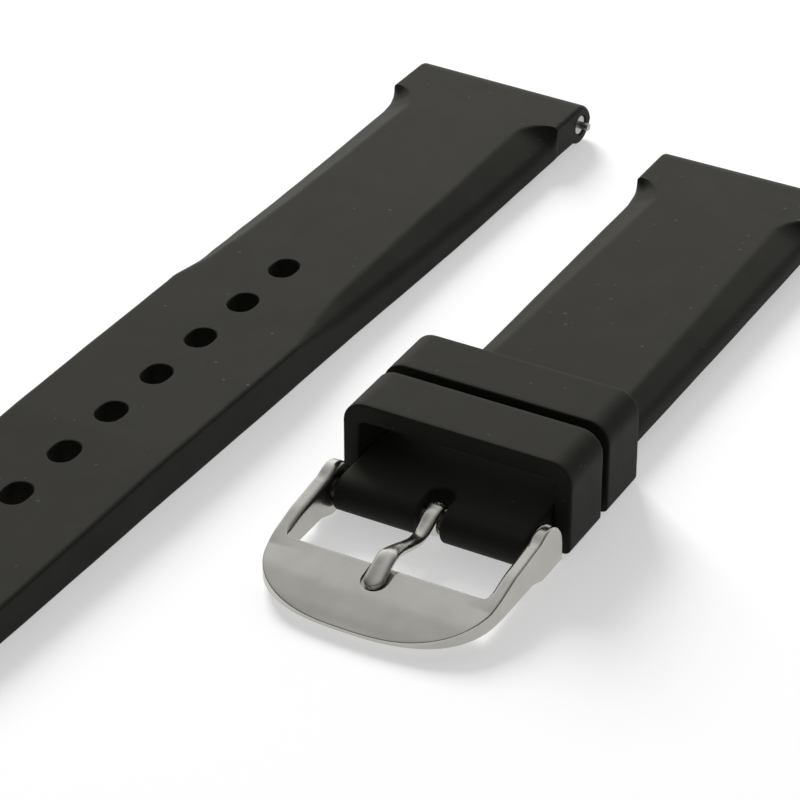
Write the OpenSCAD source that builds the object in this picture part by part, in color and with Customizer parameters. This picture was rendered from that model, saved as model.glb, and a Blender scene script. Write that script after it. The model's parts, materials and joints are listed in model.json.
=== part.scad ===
// Rubber watch strap with a pin buckle, in millimetres.
// Its two halves lie flat, underside down, side by side.
// +Y runs from the buckle towards the watch, +X to the right, +Z up.
// The origin is on the table, under the middle of the fixed keeper.

/* [Lug ends] */
// Width of both halves between the watch lugs
lug_w = 20; // [18:0.5:24]
// Thickness of both halves, from the table to the top face
strap_t = 4.2; // [3.8:0.1:5]
// How far each lug end keeps its full width
lug_block_l = 5.3; // [4.5:0.1:8]
// Length over which the width drops from the lug end to the body
shoulder_l = 3.5; // [2:0.5:6]

/* [Buckle half] */
// Distance from the lug bar to the buckle bar
bar_spacing = 67.2; // [60:0.2:80]
// Width of the buckle half past its lug end
short_w = 19.1; // [17:0.1:19.4]
// Height of the underside over the table, which the keepers pass under
under_gap = 1.1; // [0.9:0.05:1.4]
// Diameter of the rounded end round the buckle bar
buckle_end_d = 3.7; // [3.2:0.1:3.9]
// Width of the slot for the tang
slot_w = 2.6; // [2.4:0.1:5]
// How far the slot reaches past the buckle bar
slot_reach = 2.3; // [1.9:0.1:3]

/* [Hole half] */
// Length from the lug end to the tip
long_l = 115; // [106:1:130]
// Width just past the lug end
long_w = 19.2; // [17.5:0.1:19.6]
// Width one hole pitch before the first hole
mid_w = 18.8; // [17.5:0.1:19.6]
// Width where the facets have faded out
narrow_w = 17.8; // [16.8:0.1:18.4]
// Width at the tip
tip_w = 17.2; // [15:0.1:18]
// Thickness at the tip
tip_t = 3.4; // [2.6:0.1:4]
// Distance from the first hole to where the strap starts to thin
thin_start = 33; // [20:1:40]
// Depth of the recess in the underside past the lug end
recess_h = 0.5; // [0.4:0.1:1.2]
// Length over which the recess runs out
recess_run = 18; // [10:1:30]
// Number of adjustment holes
hole_n = 7; // [5:1:8]
// Distance between neighbouring holes
hole_pitch = 7.5; // [6:0.1:8]
// Distance from the lug bar to the first hole
first_hole = 44.4; // [40:0.2:50]
// Width of a hole across the strap
hole_w = 2.7; // [2.4:0.1:3.4]
// Length of a hole along the strap
hole_l = 3.6; // [3.5:0.1:5]
// Place of the hole half's lug bar to the left of the buckle half
long_x = -31.2; // [-50:0.1:-26]
// How far the hole half's lug bar lies past the buckle half's
long_shift = 5.6; // [0:0.1:20]
// Angle between the two halves on the table
long_turn = -1.55; // [-3:0.05:3]
// How far the hole half's lug end has set to the left
sway = 0.5; // [0:0.05:0.8]
// Distance from the lug bar to where the set is half done
sway_l = 18; // [14:1:24]

/* [Side facets] */
// Slope of the facets along both top edges
facet_slope = 31; // [25:1:45]
// Facet width of the buckle half near its lug end
short_facet = 3.1; // [1.5:0.1:3.4]
// Facet width of the buckle half at the keepers
short_facet_end = 2.1; // [1:0.1:3]
// Facet width of the hole half near its lug end
long_facet = 3; // [1.5:0.1:3.4]
// Facet width of the hole half at the first hole
long_facet_end = 1.6; // [1:0.1:3]
// Length of the curved start of a facet
facet_scoop = 3.6; // [2:0.1:5]
// Length over which a facet of the hole half fades out
facet_fade = 13; // [6:1:16]

/* [Keepers] */
// Outer height of both keepers
keeper_h = 9.4; // [8.8:0.1:11]
// Length of the fixed keeper along the strap
fixed_l = 6.3; // [4:0.1:8]
// Length of the free keeper along the strap
free_l = 6.2; // [4:0.1:8]
// Gap between the two keepers
keeper_gap = 1.2; // [0.6:0.1:3]
// Thickness of the side walls
keeper_side = 1.7; // [1.2:0.1:2.2]
// Thickness of the top wall
keeper_top = 1.9; // [1.2:0.1:2.2]
// Radius of the outer corners
keeper_r = 2.2; // [1:0.1:2.4]
// Radius of the outer corners at the table
keeper_foot_r = 0.9; // [0.4:0.1:1.6]
// Distance from the buckle bar to the fixed keeper's front face
keeper_setback = 3.6; // [3.3:0.1:6]

/* [Buckle] */
// Thickness of each arm
arm_t = 1.35; // [1.2:0.05:1.6]
// Diameter of the rounded ear round the bar
ear_d = 5; // [4:0.1:5.2]
// Length from the bar to the front edge
frame_l = 16.8; // [15.5:0.1:20]
// Length from the bar to the rear edge of the plate
window_l = 9.4; // [8.6:0.1:10.4]
// Thickness of the plate
plate_t = 1.2; // [1:0.1:1.5]
// Height of the plate's rear edge over the table
plate_h = 3; // [2.8:0.1:3.4]
// Height of the plate half way along it
plate_mid_h = 2.35; // [2.1:0.05:2.7]
// Height of the plate behind its front bevel
plate_front_h = 1.65; // [1.4:0.05:1.8]
// Height of the gap under the front edge
front_lift = 0.65; // [0.3:0.05:1]
// Thickness of the front edge
front_t = 0.4; // [0.3:0.05:0.8]
// Length of the front bevel
bevel_l = 1.3; // [0.8:0.1:2.4]
// How much the front edge is flattened, where 2 is a true ellipse
front_bend = 2.6; // [2:0.1:3.4]
// Height of the arms over the table at the ears
arm_h = 4.3; // [3.8:0.1:4.6]
// How much lower the arms are where their slope to the plate starts
arm_drop = 0.5; // [0.2:0.05:0.8]
// Length of the slope from the arms down to the plate
arm_slope_l = 3; // [2:0.1:4]
// Height of the gap under the ears
arm_lift = 0.2; // [0.1:0.05:0.4]
// Length of an ear's foot ahead of the bar
ear_foot = 1.2; // [0.8:0.1:2]
// Height of the gap under the arms
arm_gap = 0.9; // [0.5:0.1:1.2]

/* [Tang] */
// Width of the tang
tang_w = 1.9; // [1.4:0.1:2.4]
// Thickness of the tang
tang_t = 1.1; // [0.8:0.1:1.3]
// Thickness of its tongue at the tip
tongue_t = 0.8; // [0.6:0.05:1.1]
// Height of the top of the tongue over the table at the tip
tongue_h = 2.75; // [2.6:0.05:3]
// Length from the bar to the tip
tang_l = 12.1; // [11:0.1:13]
// Outer diameter of the tang's eye
eye_d = 3.1; // [2.6:0.1:3.4]
// Width of the tang's eye
eye_w = 2; // [1.7:0.1:2.2]
// Distance from the bar to the dip in the tang
dip_l = 3.5; // [3:0.1:4.2]
// Depth of the dip's centre line under the bar's axis
dip_h = 0.05; // [0:0.05:0.4]
// Distance from the bar to the tang's crest over the plate's rear edge
crest_l = 8.8; // [8:0.1:9.2]

/* [Spring bars] */
// Outer diameter of the bar's tube
bar_d = 1.5; // [1.3:0.1:1.8]
// Diameter of the tip that enters a lug hole
tip_d = 0.8; // [0.7:0.05:1]
// How far a tip stands out of its flange
tip_out = 1.1; // [0.8:0.05:1.4]
// Travel of a tip when it is pressed in
tip_travel = 1; // [0.6:0.05:1.1]
// Diameter of the outer flange
flange_d = 2; // [1.8:0.1:2.2]
// Diameter of the spring's wire
wire_d = 0.16; // [0.1:0.01:0.2]
// Number of turns in each spring
coil_n = 10; // [6:1:12]
// Diameter of the shaft between a tip's flanges and its head
shaft_d = 0.84; // [0.7:0.02:0.9]
// Diameter of the head that slides inside the tube
head_d = 1.06; // [1:0.02:1.1]
// Thickness of the outer flange
flange_t = 0.35; // [0.2:0.05:0.5]
// Length of the groove between the two flanges
neck_l = 0.2; // [0.1:0.05:0.4]
// Diameter of the bottom of that groove
neck_d = 1.2; // [1.2:0.1:1.5]
// Thickness of the inner flange
inner_flange_t = 0.25; // [0.15:0.05:0.4]
// Diameter of the inner flange
inner_flange_d = 1.6; // [1.4:0.1:1.7]
// Length of the tube's end that keeps a head in
lip_l = 0.5; // [0.3:0.05:0.8]
// Length of a tip's head
head_l = 0.6; // [0.4:0.05:1]

/* [Clearances] */
// Gap between a keeper's bore and the strap
keeper_clear = 0.3; // [0.2:0.05:0.5]
// Gap between the arms and the strap's buckle end
arm_clear = 0.4; // [0.3:0.05:0.6]
// Radial gap of a part that turns or slides on a bar
turn_clear = 0.05; // [0.03:0.01:0.1]
// Radial gap between a bar's tube and the rubber
seat_clear = 0.1; // [0.05:0.01:0.2]
// Gap round the outer flange in its pocket
flange_clear = 0.15; // [0.1:0.05:0.3]
// Gap between the tang's tip and the wall of its notch in the plate
notch_clear = 0.35; // [0.2:0.05:0.5]
// Gap under the tang's tongue
tang_clear = 0.1; // [0.05:0.05:0.2]
// Gap between a flange and the lug or arm that its tip enters
flange_gap = 0.15; // [0.1:0.05:0.3]
// Gap along a bar between neighbouring parts
end_gap = 0.05; // [0.03:0.01:0.1]

/* [Hidden] */
$fn = 64;

rubber = [0.23, 0.23, 0.21];
steel = [0.66, 0.65, 0.62];
dark_steel = [0.5, 0.5, 0.5];
// Overshoot of cutting shapes past the faces that they cut
over = 1;

// Places along the strap, with Y zero under the middle of the fixed keeper
bar_y = -fixed_l / 2 - keeper_setback;
lug_y = bar_y + bar_spacing;
free_y = fixed_l / 2 + keeper_gap + free_l / 2;
bar_z = strap_t - buckle_end_d / 2;
lug_z = strap_t / 2;
floor_z = -bar_z;

// Widths worked out from what has to fit inside what
keeper_in_w = short_w + 2 * keeper_clear;
keeper_out_w = keeper_in_w + 2 * keeper_side;
band_t = under_gap - keeper_clear;
arm_in = short_w / 2 + arm_clear;
arm_out = arm_in + arm_t;
tip_end_y = strap_t / 2 - long_l;

// Half widths of each half, as pairs of place along the strap and half width, from the lug bar
short_plan = [
  [-bar_spacing - buckle_end_d, short_w / 2],
  [-lug_block_l - shoulder_l, short_w / 2],
  [-lug_block_l, lug_w / 2],
  [strap_t, lug_w / 2]
];
long_plan = [
  [tip_end_y + tip_w / 2, tip_w / 2],
  [-first_hole - facet_fade, narrow_w / 2],
  [-first_hole + hole_pitch, mid_w / 2],
  [-sway_l, long_w / 2],
  [-lug_block_l - shoulder_l, long_w / 2],
  [-lug_block_l, lug_w / 2],
  [strap_t, lug_w / 2]
];

// Sideways set of the centre line along each half, as pairs of place and shift
straight = [[-sway_l, 0], [strap_t, 0]];
long_set = [
  [-first_hole, 0],
  [-sway_l, -sway / 2],
  [-lug_block_l - shoulder_l, -0.8 * sway],
  [-lug_block_l, -sway]
];

// Half length of a bar between the outer faces of its flanges
lug_bar_half = lug_w / 2 - flange_gap;
buckle_bar_half = arm_in - flange_gap;
// Distances from the outer face of a flange to the tube's end and to the head
tube_back = flange_t + neck_l + inner_flange_t + tip_travel + end_gap;
head_back = tube_back + lip_l + end_gap;

// Shapes used by several parts

// A solid that runs along X, from an outline in Y and Z
module along_x(length) {
  rotate([90, 0, 90]) linear_extrude(height = length, center = true) children();
}

// A rod that runs along X, from x0 to x1
module rod_x(x0, x1, d) {
  translate([x0, 0, 0]) rotate([0, 90, 0]) cylinder(h = x1 - x0, d = d);
}

module both_sides() {
  children();
  mirror([1, 0, 0]) children();
}

module at_short_lug() { translate([0, lug_y, 0]) children(); }

module at_long_lug() {
  translate([long_x, lug_y + long_shift, 0]) rotate([0, 0, long_turn]) children();
}

module at_buckle_bar() { translate([0, bar_y, bar_z]) children(); }

module at_short_lug_bar() { at_short_lug() translate([0, 0, lug_z]) children(); }

module at_long_lug_bar() { at_long_lug() translate([-sway, 0, lug_z]) children(); }

// A rectangle that stands on the X axis, with round corners of radius r at its top and foot
module round_rect(w, h, r, foot) {
  hull() {
    for (s = [-1, 1]) {
      translate([s * (w / 2 - r), h - r]) circle(r = r);
      translate([s * (w / 2 - foot), foot]) circle(r = foot);
    }
  }
}

// An outline of a strap half in plan, from its pairs of place and half width and its set
module plan_outline(pairs, set) {
  right = [for (p = pairs) [lookup(p[0], set) + p[1], p[0]]];
  left = [for (i = [len(pairs) - 1:-1:0]) [lookup(pairs[i][0], set) - pairs[i][1], pairs[i][0]]];
  polygon(concat(right, left));
}

// Facets

// Cuts of a facet along the strap, as lists of place, place of the edge and facet width.
// The first cuts follow a quarter of an ellipse, so that the facet starts in a curve.
// It narrows from c0 to c1 at y1, and has faded out before y2. Side is 1 on the right.
function facet_cuts(plan, set, side, c0, c1, y1, y2) =
  let (
    start = -lug_block_l - facet_scoop,
    sizes = [[start, c0], [y1, c1]],
    scoop = [for (a = [5:5:90]) [-lug_block_l + facet_scoop * (cos(a) - 1), c0 * sin(a)]],
    rest = concat([for (y = [-sway_l, y1]) [y, lookup(y, sizes)]], [[y2, -over]])
  ) [for (c = concat(scoop, rest)) [c[0], lookup(c[0], plan) + side * lookup(c[0], set), c[1]]];

// The wedge that a facet removes on the right side
module facet_cutter(cuts) {
  slope = tan(facet_slope);
  points = [for (c = cuts) each [
    [c[1] + over, c[0], strap_t - (c[2] + over) * slope],
    [c[1] + over, c[0], strap_t + over * slope],
    [c[1] - c[2] - over, c[0], strap_t + over * slope]
  ]];
  n = len(cuts);
  sides = [for (i = [0:n - 2], k = [0:2])
    [3 * i + k, 3 * i + 3 + k, 3 * i + 3 + (k + 1) % 3, 3 * i + (k + 1) % 3]];
  polyhedron(
    points = points,
    faces = concat([[0, 1, 2]], sides, [[3 * n - 1, 3 * n - 2, 3 * n - 3]]),
    convexity = 4
  );
}

// Bores of a lug end or a buckle end, about a bar's axis along X

// A through bore for the tube, with a pocket for the flange at each end
module bar_bores(half, outer) {
  rod_x(-outer - over, outer + over, bar_d + 2 * seat_clear);
  pocket = half - tube_back;
  both_sides() rod_x(pocket, outer + over, flange_d + 2 * flange_clear);
}

// Rubber parts

module short_profile() {
  translate([0, lug_z]) circle(d = strap_t);
  translate([-bar_spacing, bar_z]) circle(d = buckle_end_d);
  polygon([
    [-bar_spacing, strap_t],
    [-bar_spacing, under_gap],
    [0, under_gap],
    [0, strap_t]
  ]);
}

module buckle_strap() {
  keeper_edge = free_y + free_l / 2 - lug_y;
  fixed_middle = -lug_y;
  color(rubber) at_short_lug() difference() {
    intersection() {
      along_x(lug_w) short_profile();
      linear_extrude(height = strap_t) plan_outline(short_plan, straight);
    }
    both_sides() facet_cutter(
      facet_cuts(short_plan, straight, 1, short_facet, short_facet_end, keeper_edge, fixed_middle)
    );
    translate([0, 0, lug_z]) bar_bores(lug_bar_half, lug_w / 2);
    translate([0, -bar_spacing, bar_z]) {
      bar_bores(buckle_bar_half, short_w / 2);
      tang_slot();
    }
  }
}

// The open slot that the tang swings in, about the buckle bar's axis
module tang_slot() {
  translate([-slot_w / 2, -buckle_end_d, -strap_t])
    cube([slot_w, buckle_end_d + slot_reach - slot_w / 2, 2 * strap_t]);
  translate([0, slot_reach - slot_w / 2, -strap_t]) cylinder(h = 2 * strap_t, d = slot_w);
}

module long_profile() {
  recess_y = -lug_block_l - shoulder_l;
  translate([0, lug_z]) circle(d = strap_t);
  polygon([
    [0, strap_t],
    [-first_hole - thin_start, strap_t],
    [tip_end_y, tip_t],
    [tip_end_y, 0],
    [recess_y - recess_run, 0],
    [recess_y, recess_h],
    [0, recess_h]
  ]);
}

module adjustment_hole() {
  run = hole_l - hole_w;
  for (s = [-1, 1]) translate([0, s * run / 2, -over]) cylinder(h = strap_t + 2 * over, d = hole_w);
  translate([-hole_w / 2, -run / 2, -over]) cube([hole_w, run, strap_t + 2 * over]);
}

module hole_strap() {
  faded = -first_hole - facet_fade;
  color(rubber) at_long_lug() difference() {
    intersection() {
      along_x(lug_w + 2 * sway) long_profile();
      linear_extrude(height = strap_t) {
        plan_outline(long_plan, long_set);
        translate([0, tip_end_y + tip_w / 2]) circle(d = tip_w);
      }
    }
    for (side = [-1, 1]) scale([side, 1, 1]) facet_cutter(
      facet_cuts(long_plan, long_set, side, long_facet, long_facet_end, -first_hole, faded)
    );
    for (i = [0:hole_n - 1]) translate([0, -first_hole - i * hole_pitch, 0]) adjustment_hole();
    translate([-sway, 0, lug_z]) bar_bores(lug_bar_half, lug_w / 2);
  }
}

// A closed loop round the strap; its lower wall is band_h thick
module keeper(length, band_h) {
  in_h = keeper_h - keeper_top - band_h;
  rotate([90, 0, 0]) linear_extrude(height = length, center = true) difference() {
    round_rect(keeper_out_w, keeper_h, keeper_r, keeper_foot_r);
    translate([0, band_h]) round_rect(keeper_in_w, in_h, keeper_r / 4, keeper_r / 4);
  }
}

module fixed_keeper() { color(rubber) keeper(fixed_l, under_gap); }

module free_keeper() { color(rubber) translate([0, free_y, 0]) keeper(free_l, band_t); }

// Steel parts

// Outline of the buckle in plan about the bar: straight arms, then a flattened arc
module frame_plan() {
  arc_y = -window_l + bevel_l;
  reach = frame_l + arc_y;
  front = [for (a = [0:6:180])
    let (c = cos(a), s = sin(a))
      [arm_out * sign(c) * pow(abs(c), 2 / front_bend), arc_y - reach * pow(s, 2 / front_bend)]];
  polygon(concat([[-arm_out, ear_d], [arm_out, ear_d]], front));
}

// Heights of the frame's top about the bar, as pairs of place and height
frame_top = [
  [-frame_l, floor_z + front_lift + front_t],
  [-frame_l + bevel_l, floor_z + plate_front_h],
  [-(frame_l + window_l) / 2, floor_z + plate_mid_h],
  [-window_l, floor_z + plate_h],
  [-window_l + arm_slope_l, floor_z + arm_h - arm_drop],
  [-ear_d / 2, floor_z + arm_h]
];

// An arm from the side: a round ear that stands on a foot, and an arched underside
module arm_profile() {
  intersection() {
    circle(d = ear_d);
    translate([-ear_d, floor_z + arm_lift]) square(2 * ear_d);
  }
  translate([-ear_foot, floor_z + arm_lift]) square([ear_foot + ear_d / 2, -floor_z - arm_lift]);
  polygon(concat(frame_top, [
    [0, floor_z + arm_h],
    [0, floor_z + arm_lift],
    [-ear_foot, floor_z + arm_lift],
    [-window_l / 3, floor_z + arm_gap],
    [-window_l, floor_z + arm_gap],
    [-frame_l, floor_z + front_lift]
  ]));
}

module plate_profile() {
  under = [for (i = [3:-1:1]) [frame_top[i][0], max(floor_z + front_lift, frame_top[i][1] - plate_t)]];
  polygon(concat([for (i = [0:3]) frame_top[i]], under, [[-frame_l, floor_z + front_lift]]));
}

module buckle_frame() {
  notch_r = tang_w / 2 + notch_clear;
  notch_y = -tang_l + tang_w / 2;
  color(steel) at_buckle_bar() difference() {
    intersection() {
      union() {
        for (s = [-1, 1]) translate([s * (arm_in + arm_out) / 2, 0, 0]) along_x(arm_t) arm_profile();
        along_x(2 * arm_out) plate_profile();
      }
      translate([0, 0, -strap_t]) linear_extrude(height = 2 * strap_t) frame_plan();
    }
    both_sides() rod_x(arm_in - over, ear_hole_end, tip_d + 2 * turn_clear);
    intersection() {
      translate([0, 0, -strap_t]) linear_extrude(height = 2 * strap_t) {
        translate([0, notch_y]) circle(r = notch_r);
        translate([-notch_r, notch_y]) square([2 * notch_r, window_l]);
      }
      along_x(2 * notch_r) notch_profile();
    }
  }
}

// The space that the notch gives the tongue, from under the tongue upwards
module notch_profile() {
  line = [for (i = [5:6]) [tang_line[i][0], tang_line[i][1] - tang_line[i][2] / 2 - tang_clear]];
  polygon([
    [0, line[0][1]],
    line[0],
    line[1],
    [-frame_l, line[1][1]],
    [-frame_l, strap_t],
    [0, strap_t]
  ]);
}

// Depth of the blind holes in the ears, which take the tips of the buckle bar
ear_hole_end = buckle_bar_half + tip_out + end_gap;

// Heights of the tang's centre line about the bar, at its eye, its crest and its tip
tang_top = (eye_d - tang_t) / 2;
tang_crest = floor_z + plate_h + tang_clear + tang_t / 2;
tang_tip = floor_z + tongue_h - tongue_t / 2;

// The tang about the bar, as lists of place, height of the centre line and thickness:
// from its eye down into the dip, up to the crest and down to the tip of its tongue
tang_line = [
  [0, tang_top, tang_t],
  [-eye_d / 2, 0.7 * tang_top, tang_t],
  [-dip_l + tang_t / 2, -dip_h, tang_t],
  [-dip_l - tang_t / 2, -dip_h, tang_t],
  [-crest_l + tang_t / 3, tang_crest, tang_t],
  [-crest_l - tang_t / 3, tang_crest, tang_t],
  [-tang_l, tang_tip, tongue_t]
];

module buckle_tang() {
  color(steel) at_buckle_bar() difference() {
    union() {
      rod_x(-eye_w / 2, eye_w / 2, eye_d);
      intersection() {
        along_x(tang_w) polygon(concat(
          [for (p = tang_line) [p[0], p[1] + p[2] / 2]],
          [for (i = [len(tang_line) - 1:-1:0]) [tang_line[i][0], tang_line[i][1] - tang_line[i][2] / 2]]
        ));
        translate([0, 0, -strap_t]) linear_extrude(height = 2 * strap_t) {
          translate([0, -tang_l + tang_w / 2]) circle(d = tang_w);
          translate([-tang_w / 2, -tang_l + tang_w / 2]) square([tang_w, tang_l]);
        }
      }
    }
    rod_x(-tang_w, tang_w, bar_d + 2 * turn_clear);
  }
}

// Spring bars, each about its own axis along X

module bar_tube(half) {
  end = half - tube_back;
  color(dark_steel) difference() {
    rod_x(-end, end, bar_d);
    rod_x(-end + lip_l, end - lip_l, head_d + 2 * turn_clear);
    rod_x(-end - over, end + over, shaft_d + 2 * turn_clear);
  }
}

// The tip on the right: pin, double flange, shaft and the head inside the tube
module bar_tip(half) {
  neck = half - flange_t;
  inner = neck - neck_l;
  head = half - head_back;
  color(steel) {
    rod_x(half, half + tip_out, tip_d);
    rod_x(neck, half, flange_d);
    rod_x(inner, neck, neck_d);
    rod_x(inner - inner_flange_t, inner, inner_flange_d);
    rod_x(head, inner - inner_flange_t, shaft_d);
    rod_x(head - head_l, head, head_d);
  }
}

// Half length of a spring's centre line between the two heads
function spring_reach(half) = half - head_back - head_l - end_gap - wire_d / 2;

// A round wire wound into a helix between the two heads
module bar_spring(half) {
  sides = 5;
  rings = 8;
  reach = spring_reach(half);
  coil_r = head_d / 2 - wire_d / 2;
  steps = coil_n * rings;
  points = [for (i = [0:steps], k = [0:sides - 1])
    let (turn = 360 * i / rings, a = 360 * k / sides, r = coil_r + wire_d / 2 * cos(a))
      [-reach + 2 * reach * i / steps + wire_d / 2 * sin(a), r * cos(turn), r * sin(turn)]];
  ring_faces = [for (i = [0:steps - 1], k = [0:sides - 1])
    let (a = sides * i + k, b = sides * i + (k + 1) % sides)
      each [[a, b, b + sides], [a, b + sides, a + sides]]];
  cap_a = [for (k = [1:sides - 2]) [0, k + 1, k]];
  last = sides * steps;
  cap_b = [for (k = [1:sides - 2]) [last, last + k, last + k + 1]];
  color(dark_steel) polyhedron(points = points, faces = concat(ring_faces, cap_a, cap_b), convexity = 10);
}

// The gap between neighbouring turns of the lug bars' springs
echo(spring_turn_gap = 2 * spring_reach(lug_bar_half) / coil_n - wire_d);

module buckle_bar_tube() { at_buckle_bar() bar_tube(buckle_bar_half); }

module buckle_bar_spring() { at_buckle_bar() bar_spring(buckle_bar_half); }

module buckle_bar_left_tip() { at_buckle_bar() mirror([1, 0, 0]) bar_tip(buckle_bar_half); }

module buckle_bar_right_tip() { at_buckle_bar() bar_tip(buckle_bar_half); }

module short_lug_bar_tube() { at_short_lug_bar() bar_tube(lug_bar_half); }

module short_lug_bar_spring() { at_short_lug_bar() bar_spring(lug_bar_half); }

module short_lug_bar_left_tip() { at_short_lug_bar() mirror([1, 0, 0]) bar_tip(lug_bar_half); }

module short_lug_bar_right_tip() { at_short_lug_bar() bar_tip(lug_bar_half); }

module long_lug_bar_tube() { at_long_lug_bar() bar_tube(lug_bar_half); }

module long_lug_bar_spring() { at_long_lug_bar() bar_spring(lug_bar_half); }

module long_lug_bar_left_tip() { at_long_lug_bar() mirror([1, 0, 0]) bar_tip(lug_bar_half); }

module long_lug_bar_right_tip() { at_long_lug_bar() bar_tip(lug_bar_half); }

buckle_strap();
hole_strap();
fixed_keeper();
free_keeper();
buckle_frame();
buckle_tang();
buckle_bar_tube();
buckle_bar_spring();
buckle_bar_left_tip();
buckle_bar_right_tip();
short_lug_bar_tube();
short_lug_bar_spring();
short_lug_bar_left_tip();
short_lug_bar_right_tip();
long_lug_bar_tube();
long_lug_bar_spring();
long_lug_bar_left_tip();
long_lug_bar_right_tip();
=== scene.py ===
import json
import math

import bmesh
import bpy
import numpy as np
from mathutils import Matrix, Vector


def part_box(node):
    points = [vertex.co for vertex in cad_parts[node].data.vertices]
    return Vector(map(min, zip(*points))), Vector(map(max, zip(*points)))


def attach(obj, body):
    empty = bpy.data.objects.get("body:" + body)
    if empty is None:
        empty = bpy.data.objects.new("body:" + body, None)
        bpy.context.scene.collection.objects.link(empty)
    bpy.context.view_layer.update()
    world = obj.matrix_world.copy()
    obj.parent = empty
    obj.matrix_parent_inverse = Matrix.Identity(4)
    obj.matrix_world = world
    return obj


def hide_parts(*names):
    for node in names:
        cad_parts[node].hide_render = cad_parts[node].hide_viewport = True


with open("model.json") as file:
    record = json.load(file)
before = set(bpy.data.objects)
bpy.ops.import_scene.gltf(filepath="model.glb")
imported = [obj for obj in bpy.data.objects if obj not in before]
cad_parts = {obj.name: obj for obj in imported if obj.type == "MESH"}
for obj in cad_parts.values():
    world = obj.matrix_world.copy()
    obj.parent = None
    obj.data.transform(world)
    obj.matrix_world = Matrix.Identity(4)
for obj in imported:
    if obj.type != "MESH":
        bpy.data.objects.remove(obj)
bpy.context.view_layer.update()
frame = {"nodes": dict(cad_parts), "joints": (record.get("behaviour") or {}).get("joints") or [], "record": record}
mm = 0.001
tiny = 1e-9  # keeps a length of zero from being divided by
joints = {joint["name"]: joint for joint in frame["joints"]}
mounts = {mount["name"]: mount for mount in frame["record"]["mounts"]}
print("frame loaded,", len(frame["nodes"]), "nodes")


# Places taken from the frame, in millimetres

def nodeBox(node):
    low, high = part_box(node)
    return np.array(low) / mm, np.array(high) / mm


def barMiddle(bar):
    pins = [np.array(mounts[bar + end]["pos_m"]) / mm for end in ("_left_pin", "_right_pin")]
    return (pins[0] + pins[1]) / 2


shortLugBar, longLugBar = barMiddle("short_lug"), barMiddle("long_lug")
longAcross = np.array(mounts["long_lug_right_pin"]["axis"])
longTurn = math.atan2(longAcross[1], longAcross[0])
buckleBar = np.array(joints["buckle_hinge"]["pos_m"]) / mm


def addObject(name, data):
    made = bpy.data.objects.new(name, data)
    bpy.context.scene.collection.objects.link(made)
    return made


# Camera, with the lens and the place that make the part's edges meet the photograph's

cameraSettings = {
    "place": (121.36, -232.98, 180.52),
    "aim": (-0.4065, 0.7355, -0.5421),
    "lens": 157.93,
    "sensor": 36.0,
    "clip": (0.01, 20),  # in metres
}


def makeCamera():
    data = bpy.data.cameras.new("camera")
    data.lens, data.sensor_width = cameraSettings["lens"], cameraSettings["sensor"]
    data.clip_start, data.clip_end = cameraSettings["clip"]
    camera = addObject("camera", data)
    camera.location = Vector(cameraSettings["place"]) * mm
    camera.rotation_euler = Vector(cameraSettings["aim"]).to_track_quat("-Z", "Y").to_euler()
    bpy.context.scene.camera = camera


makeCamera()
print("camera made")


# Meshes

meshCare = {
    "merge": 2e-6,       # points closer than this, in metres, become one
    "degenerate": 1e-7,  # shorter edges are dissolved
    "sharpAngle": 40.0,  # edges that turn by more degrees are shaded sharp
}


# Quads of a grid of points, as indices [row, column, corner]. A closed direction
# joins its last line of points to its first.
def gridFaces(rows, columns, closedRows=False, closedColumns=True):
    i = np.arange(rows if closedRows else rows - 1)[:, None]
    j = np.arange(columns if closedColumns else columns - 1)[None, :]
    iNext, jNext = (i + 1) % rows, (j + 1) % columns
    return np.stack(np.broadcast_arrays(
        i * columns + j, i * columns + jNext, iNext * columns + jNext, iNext * columns + j), -1)


# Points and quads of several sheets as one set: each sheet's indices move up by the
# number of points before it.
def joinSheets(sheets):
    points, faces, start = [], [], 0
    for sheetPoints, sheetFaces in sheets:
        points.append(sheetPoints.reshape(-1, 3))
        faces.append(sheetFaces.reshape(-1, 4) + start)
        start += len(points[-1])
    return np.concatenate(points), np.concatenate(faces)


def shadeSmooth(mesh):
    mesh.polygons.foreach_set("use_smooth", np.ones(len(mesh.polygons), bool))
    mesh.set_sharp_from_angle(angle=math.radians(meshCare["sharpAngle"]))


# Turns points in millimetres and quads into a closed mesh: the points that meet are
# merged, the flat ends are filled, and the faces are turned outwards.
def makePiece(name, points, faces):
    mesh = bpy.data.meshes.new(name)
    mesh.from_pydata((points * mm).tolist(), [], faces.tolist())
    body = bmesh.new()
    body.from_mesh(mesh)
    bmesh.ops.remove_doubles(body, verts=body.verts, dist=meshCare["merge"])
    bmesh.ops.dissolve_degenerate(body, edges=body.edges, dist=meshCare["degenerate"])
    ends = [edge for edge in body.edges if len(edge.link_faces) == 1]
    bmesh.ops.holes_fill(body, edges=ends, sides=0)
    bmesh.ops.recalc_face_normals(body, faces=body.faces)
    openEdges = sum(len(edge.link_faces) != 2 for edge in body.edges)
    body.to_mesh(mesh)
    body.free()
    shadeSmooth(mesh)
    print(name, len(mesh.polygons), "faces,", openEdges, "open edges")
    return addObject(name, mesh)


# A piece from one grid of points, whose rows are rings round it.
def makeTube(name, rings, closedRows=False):
    faces = gridFaces(*rings.shape[:2], closedRows=closedRows)
    return makePiece(name, rings.reshape(-1, 3), faces.reshape(-1, 4))


def applyModifiers(piece):
    graph = bpy.context.evaluated_depsgraph_get()
    mesh = bpy.data.meshes.new_from_object(piece.evaluated_get(graph))
    piece.modifiers.clear()
    piece.data = mesh
    shadeSmooth(mesh)


def cutAway(piece, cutter):
    cut = piece.modifiers.new("cut", "BOOLEAN")
    cut.operation = "DIFFERENCE"
    cut.solver = "EXACT"
    cut.object = cutter
    applyModifiers(piece)
    bpy.data.objects.remove(cutter)


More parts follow.
